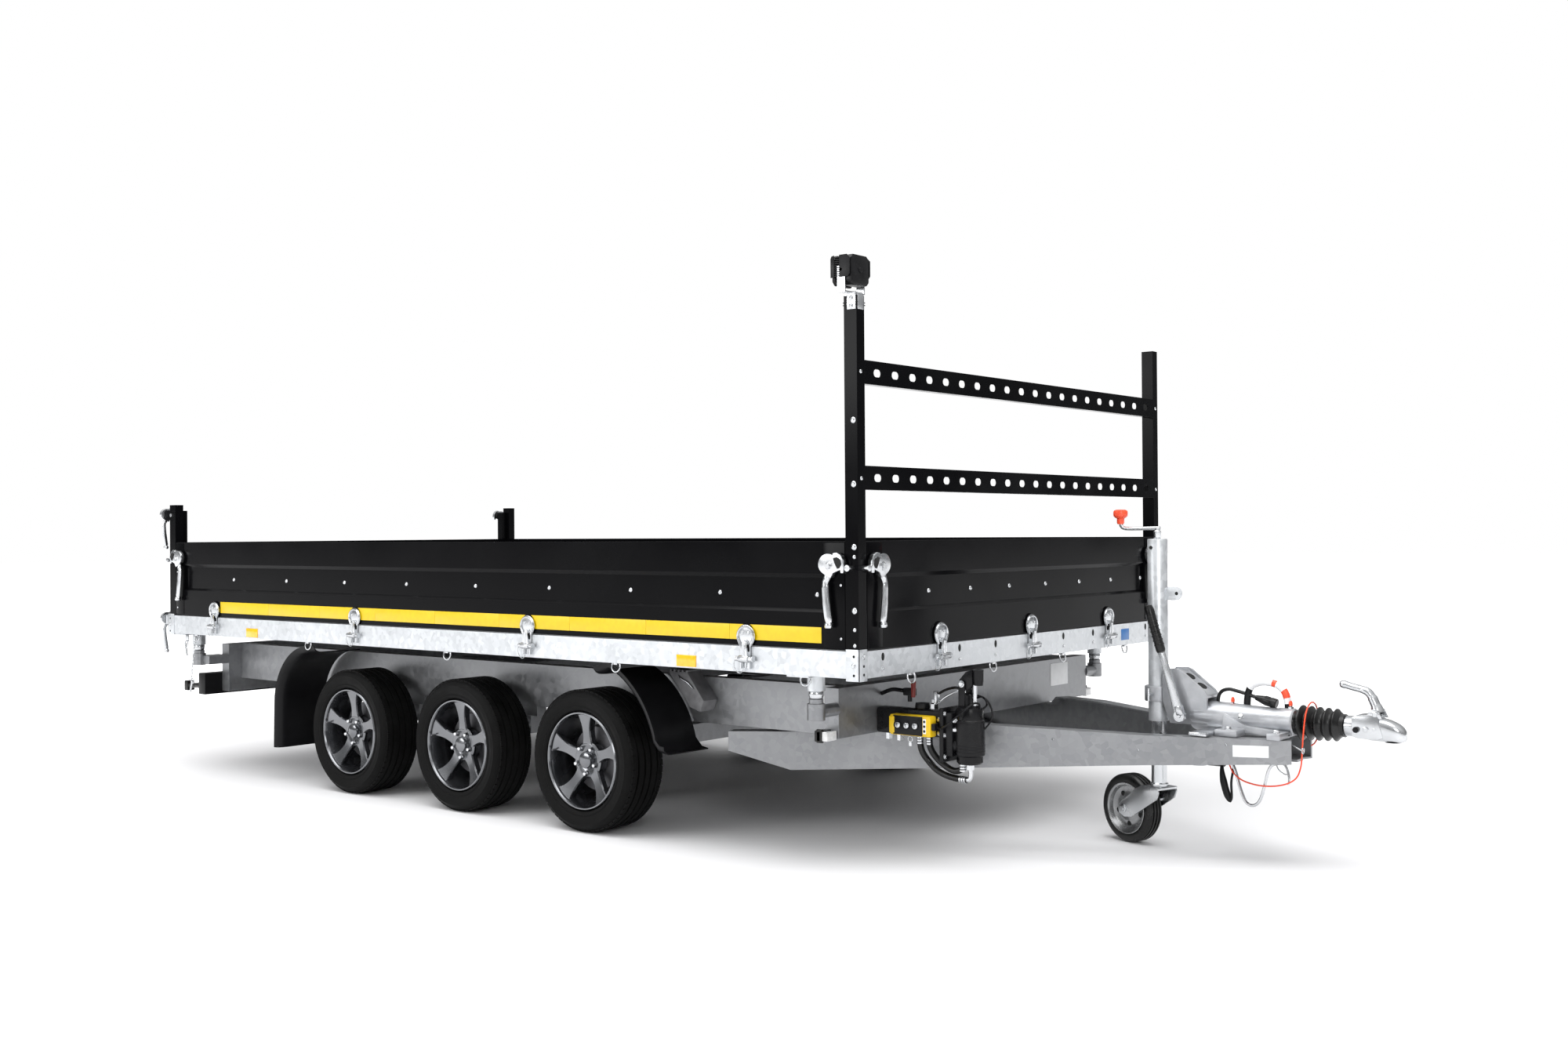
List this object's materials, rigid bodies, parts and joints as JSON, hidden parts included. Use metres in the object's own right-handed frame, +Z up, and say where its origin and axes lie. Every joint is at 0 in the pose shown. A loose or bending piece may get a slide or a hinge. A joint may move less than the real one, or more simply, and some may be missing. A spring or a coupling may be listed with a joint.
{
  "type": "three-way tipping trailer",
  "caption": "Tri-axle drop-side trailer with a three-way tipping bed, perforated front rack, jockey wheel and overrun coupling.",
  "frame": {"origin": "on the ground, under the middle of the whole trailer's outline", "axes": "+X forward to the coupling, +Y to the trailer's left, +Z up"},
  "size_m": [5.569, 2.198, 1.975],
  "materials": {
    "galvanised_steel": "hot-dip galvanised, mottled",
    "zinc_plated": "bright zinc plated",
    "black_paint": "gloss black powder coat",
    "black_plastic": "satin black moulding",
    "black_rubber": "black rubber",
    "hard_chrome": "ground hard chrome",
    "lamp_plastic": "black lamp bar with coloured lenses",
    "grey_plastic": "grey moulding",
    "cast_housing": "silver painted casting",
    "red_cable": "red plastic sheath",
    "floor_board": "phenolic faced plywood",
    "wheel_rubber": "solid rubber wheel",
    "tyre_rubber": "black tyre on a polished and grey alloy rim"
  },
  "bodies": {
    "chassis": {"chassis_rails": "galvanised_steel", "chassis_beams": "galvanised_steel", "drawbar": "galvanised_steel", "pivot_pillars": "zinc_plated", "axles": "galvanised_steel", "mudguards": "black_plastic", "lamps": "lamp_plastic", "wheel_chocks": "grey_plastic", "power_pack": "black_plastic", "hydraulic_hoses": "black_rubber", "overrun_housing": "cast_housing", "bellows": "black_rubber", "jockey_tube": "galvanised_steel", "breakaway_cable": "red_cable", "light_lead": "black_rubber"},
    "wheel_front_left": {"wheel_front_left": "tyre_rubber"},
    "wheel_front_right": {"wheel_front_right": "tyre_rubber"},
    "wheel_middle_left": {"wheel_middle_left": "tyre_rubber"},
    "wheel_middle_right": {"wheel_middle_right": "tyre_rubber"},
    "wheel_rear_left": {"wheel_rear_left": "tyre_rubber"},
    "wheel_rear_right": {"wheel_rear_right": "tyre_rubber"},
    "pivot_balls_right": {"pivot_balls_right": "zinc_plated"},
    "pivot_balls_left": {"pivot_balls_left": "zinc_plated"},
    "bed": {"bed_frame": "galvanised_steel", "bed_floor": "floor_board", "corner_posts": "black_paint", "rack_bars": "black_paint", "bed_hardware": "zinc_plated"},
    "ram_barrel": {"ram_barrel": "black_paint"},
    "ram_stage_1": {"ram_stage_1": "hard_chrome"},
    "ram_stage_2": {"ram_stage_2": "hard_chrome"},
    "ram_stage_3": {"ram_stage_3": "hard_chrome"},
    "ram_stage_4": {"ram_stage_4": "hard_chrome"},
    "side_panel_left": {"side_panel_left": "black_paint"},
    "side_panel_right": {"side_panel_right": "black_paint"},
    "front_panel": {"front_panel": "black_paint"},
    "tailgate_pins": {"tailgate_pins": "zinc_plated"},
    "tailgate": {"tailgate": "black_paint"},
    "side_front_lever_left": {"side_front_lever_left": "zinc_plated"},
    "side_rear_lever_left": {"side_rear_lever_left": "zinc_plated"},
    "front_lever_left": {"front_lever_left": "zinc_plated"},
    "gate_top_lever_left": {"gate_top_lever_left": "zinc_plated"},
    "gate_low_lever_left": {"gate_low_lever_left": "zinc_plated"},
    "side_front_lever_right": {"side_front_lever_right": "zinc_plated"},
    "side_rear_lever_right": {"side_rear_lever_right": "zinc_plated"},
    "front_lever_right": {"front_lever_right": "zinc_plated"},
    "gate_top_lever_right": {"gate_top_lever_right": "zinc_plated"},
    "gate_low_lever_right": {"gate_low_lever_right": "zinc_plated"},
    "coupling": {"coupling_head": "zinc_plated"},
    "coupling_handle": {"coupling_handle": "zinc_plated"},
    "handbrake": {"handbrake_lever": "zinc_plated"},
    "jockey_inner_tube": {"jockey_inner_tube": "zinc_plated"},
    "jockey_fork": {"jockey_fork": "zinc_plated"},
    "jockey_wheel": {"jockey_wheel": "wheel_rubber"},
    "jockey_crank": {"jockey_crank": "zinc_plated"},
    "work_lamp": {"work_lamp": "black_plastic"},
    "hand_pump_lever": {"hand_pump_lever": "black_plastic"},
    "button_up": {"button_up": "zinc_plated"},
    "button_down": {"button_down": "zinc_plated"},
    "button_stop": {"button_stop": "zinc_plated"}
  },
  "joints": [
    {"name": "wheel_front_left_spin", "type": "hinge", "parent": "chassis", "child": "wheel_front_left", "pos_m": [0.1465, 0.9445, 0.2625], "axis": [0, 1, 0], "continuous": true},
    {"name": "wheel_front_right_spin", "type": "hinge", "parent": "chassis", "child": "wheel_front_right", "pos_m": [0.1465, -0.9445, 0.2625], "axis": [0, 1, 0], "continuous": true},
    {"name": "wheel_middle_left_spin", "type": "hinge", "parent": "chassis", "child": "wheel_middle_left", "pos_m": [-0.5675, 0.9445, 0.2625], "axis": [0, 1, 0], "continuous": true},
    {"name": "wheel_middle_right_spin", "type": "hinge", "parent": "chassis", "child": "wheel_middle_right", "pos_m": [-0.5675, -0.9445, 0.2625], "axis": [0, 1, 0], "continuous": true},
    {"name": "wheel_rear_left_spin", "type": "hinge", "parent": "chassis", "child": "wheel_rear_left", "pos_m": [-1.2815, 0.9445, 0.2625], "axis": [0, 1, 0], "continuous": true},
    {"name": "wheel_rear_right_spin", "type": "hinge", "parent": "chassis", "child": "wheel_rear_right", "pos_m": [-1.2815, -0.9445, 0.2625], "axis": [0, 1, 0], "continuous": true},
    {"name": "tip_right", "type": "hinge", "parent": "chassis", "child": "pivot_balls_right", "pos_m": [-0.691, -0.96, 0.565], "axis": [1, 0, 0], "range_deg": [0, 35]},
    {"name": "tip_left", "type": "hinge", "parent": "pivot_balls_right", "child": "pivot_balls_left", "pos_m": [-0.691, 0.96, 0.565], "axis": [-1, 0, 0], "range_deg": [0, 35]},
    {"name": "tip_rear", "type": "hinge", "parent": "pivot_balls_left", "child": "bed", "pos_m": [-2.5755, 0, 0.565], "axis": [0, -1, 0], "range_deg": [0, 35]},
    {"name": "ram_swing", "type": "hinge", "parent": "chassis", "child": "ram_barrel", "pos_m": [-0.7765, 0, 0.3], "axis": [0, -1, 0], "range_deg": [0, 16]},
    {"name": "ram_slide_1", "type": "slide", "parent": "ram_barrel", "child": "ram_stage_1", "axis": [0, 0, 1], "range_m": [0, 0.28]},
    {"name": "ram_slide_2", "type": "slide", "parent": "ram_stage_1", "child": "ram_stage_2", "axis": [0, 0, 1], "range_m": [0, 0.28]},
    {"name": "ram_slide_3", "type": "slide", "parent": "ram_stage_2", "child": "ram_stage_3", "axis": [0, 0, 1], "range_m": [0, 0.28]},
    {"name": "ram_slide_4", "type": "slide", "parent": "ram_stage_3", "child": "ram_stage_4", "axis": [0, 0, 1], "range_m": [0, 0.28]},
    {"name": "side_left_drop", "type": "hinge", "parent": "bed", "child": "side_panel_left", "pos_m": [-0.5565, 1.074, 0.68], "axis": [-1, 0, 0], "range_deg": [0, 175]},
    {"name": "side_right_drop", "type": "hinge", "parent": "bed", "child": "side_panel_right", "pos_m": [-0.5565, -1.074, 0.68], "axis": [1, 0, 0], "range_deg": [0, 175]},
    {"name": "front_drop", "type": "hinge", "parent": "bed", "child": "front_panel", "pos_m": [1.4575, 0, 0.68], "axis": [0, 1, 0], "range_deg": [0, 90]},
    {"name": "tailgate_swing", "type": "hinge", "parent": "bed", "child": "tailgate_pins", "pos_m": [-2.6495, 0, 1.2], "axis": [0, 1, 0], "range_deg": [0, 90]},
    {"name": "tailgate_drop", "type": "hinge", "parent": "tailgate_pins", "child": "tailgate", "pos_m": [-2.6905, 0, 0.68], "axis": [0, -1, 0], "range_deg": [0, 90]},
    {"name": "side_front_lever_left_turn", "type": "hinge", "parent": "side_panel_left", "child": "side_front_lever_left", "pos_m": [1.3445, 1.058, 0.991], "axis": [0, 1, 0], "range_deg": [0, 100]},
    {"name": "side_rear_lever_left_turn", "type": "hinge", "parent": "side_panel_left", "child": "side_rear_lever_left", "pos_m": [-2.5665, 1.058, 0.991], "axis": [0, -1, 0], "range_deg": [0, 100]},
    {"name": "front_lever_left_turn", "type": "hinge", "parent": "front_panel", "child": "front_lever_left", "pos_m": [1.4415, 0.96, 0.991], "axis": [-1, 0, 0], "range_deg": [0, 100]},
    {"name": "gate_top_lever_left_turn", "type": "hinge", "parent": "bed", "child": "gate_top_lever_left", "pos_m": [-2.7065, 1.041, 1.2], "axis": [-1, 0, 0], "range_deg": [0, 80]},
    {"name": "gate_low_lever_left_turn", "type": "hinge", "parent": "bed", "child": "gate_low_lever_left", "pos_m": [-2.7065, 1.041, 0.701], "axis": [-1, 0, 0], "range_deg": [0, 80]},
    {"name": "side_front_lever_right_turn", "type": "hinge", "parent": "side_panel_right", "child": "side_front_lever_right", "pos_m": [1.3445, -1.058, 0.991], "axis": [0, -1, 0], "range_deg": [0, 100]},
    {"name": "side_rear_lever_right_turn", "type": "hinge", "parent": "side_panel_right", "child": "side_rear_lever_right", "pos_m": [-2.5665, -1.058, 0.991], "axis": [0, 1, 0], "range_deg": [0, 100]},
    {"name": "front_lever_right_turn", "type": "hinge", "parent": "front_panel", "child": "front_lever_right", "pos_m": [1.4415, -0.96, 0.991], "axis": [1, 0, 0], "range_deg": [0, 100]},
    {"name": "gate_top_lever_right_turn", "type": "hinge", "parent": "bed", "child": "gate_top_lever_right", "pos_m": [-2.7065, -1.041, 1.2], "axis": [1, 0, 0], "range_deg": [0, 80]},
    {"name": "gate_low_lever_right_turn", "type": "hinge", "parent": "bed", "child": "gate_low_lever_right", "pos_m": [-2.7065, -1.041, 0.701], "axis": [1, 0, 0], "range_deg": [0, 80]},
    {"name": "overrun", "type": "slide", "parent": "chassis", "child": "coupling", "axis": [-1, 0, 0], "range_m": [0, 0.09], "stiffness_N_per_m": 4000, "springref_m": -0.03, "deforming": ["bellows"]},
    {"name": "coupling_handle_lift", "type": "hinge", "parent": "coupling", "child": "coupling_handle", "pos_m": [2.6975, 0, 0.513], "axis": [0, 1, 0], "range_deg": [0, 40]},
    {"name": "handbrake_pull", "type": "hinge", "parent": "chassis", "child": "handbrake", "pos_m": [2.0635, 0, 0.47], "axis": [0, 1, 0], "range_deg": [0, 60]},
    {"name": "jockey_lift", "type": "slide", "parent": "chassis", "child": "jockey_inner_tube", "axis": [0, 0, 1], "range_m": [0, 0.15]},
    {"name": "jockey_swivel", "type": "hinge", "parent": "jockey_inner_tube", "child": "jockey_fork", "pos_m": [1.9485, 0, 0.205], "axis": [0, 0, 1], "continuous": true},
    {"name": "jockey_wheel_spin", "type": "hinge", "parent": "jockey_fork", "child": "jockey_wheel", "pos_m": [1.82369, 0.04297, 0.12], "axis": [0.3256, 0.9455, 0], "continuous": true},
    {"name": "jockey_crank_turn", "type": "hinge", "parent": "chassis", "child": "jockey_crank", "pos_m": [1.9485, 0, 1.068], "axis": [0, 0, 1], "range_deg": [0, 9000]},
    {"name": "lamp_tilt", "type": "hinge", "parent": "bed", "child": "work_lamp", "pos_m": [1.4035, -1.034, 1.927], "axis": [0, 1, 0], "range_deg": [-20, 20]},
    {"name": "hand_pump_stroke", "type": "hinge", "parent": "chassis", "child": "hand_pump_lever", "pos_m": [1.5435, -0.6, 0.592], "axis": [0, 1, 0], "range_deg": [0, 25]},
    {"name": "button_up_press", "type": "slide", "parent": "chassis", "child": "button_up", "axis": [0, 1, 0], "range_m": [0, 0.004], "stiffness_N_per_m": 600, "springref_m": -0.002},
    {"name": "button_down_press", "type": "slide", "parent": "chassis", "child": "button_down", "axis": [0, 1, 0], "range_m": [0, 0.004], "stiffness_N_per_m": 600, "springref_m": -0.002},
    {"name": "button_stop_press", "type": "slide", "parent": "chassis", "child": "button_stop", "axis": [0, 1, 0], "range_m": [0, 0.004], "stiffness_N_per_m": 600, "springref_m": -0.002}
  ],
  "couplings": [
    {"joint": "ram_swing", "follows": "tip_rear", "ratio": 0.4223},
    {"joint": "ram_slide_1", "follows": "tip_rear", "m_per_rad": 0.43754},
    {"joint": "ram_slide_2", "follows": "tip_rear", "m_per_rad": 0.43754},
    {"joint": "ram_slide_3", "follows": "tip_rear", "m_per_rad": 0.43754},
    {"joint": "ram_slide_4", "follows": "tip_rear", "m_per_rad": 0.43754},
    {"joint": "jockey_lift", "follows": "jockey_crank_turn", "m_per_rad": 0.00095493}
  ]
}
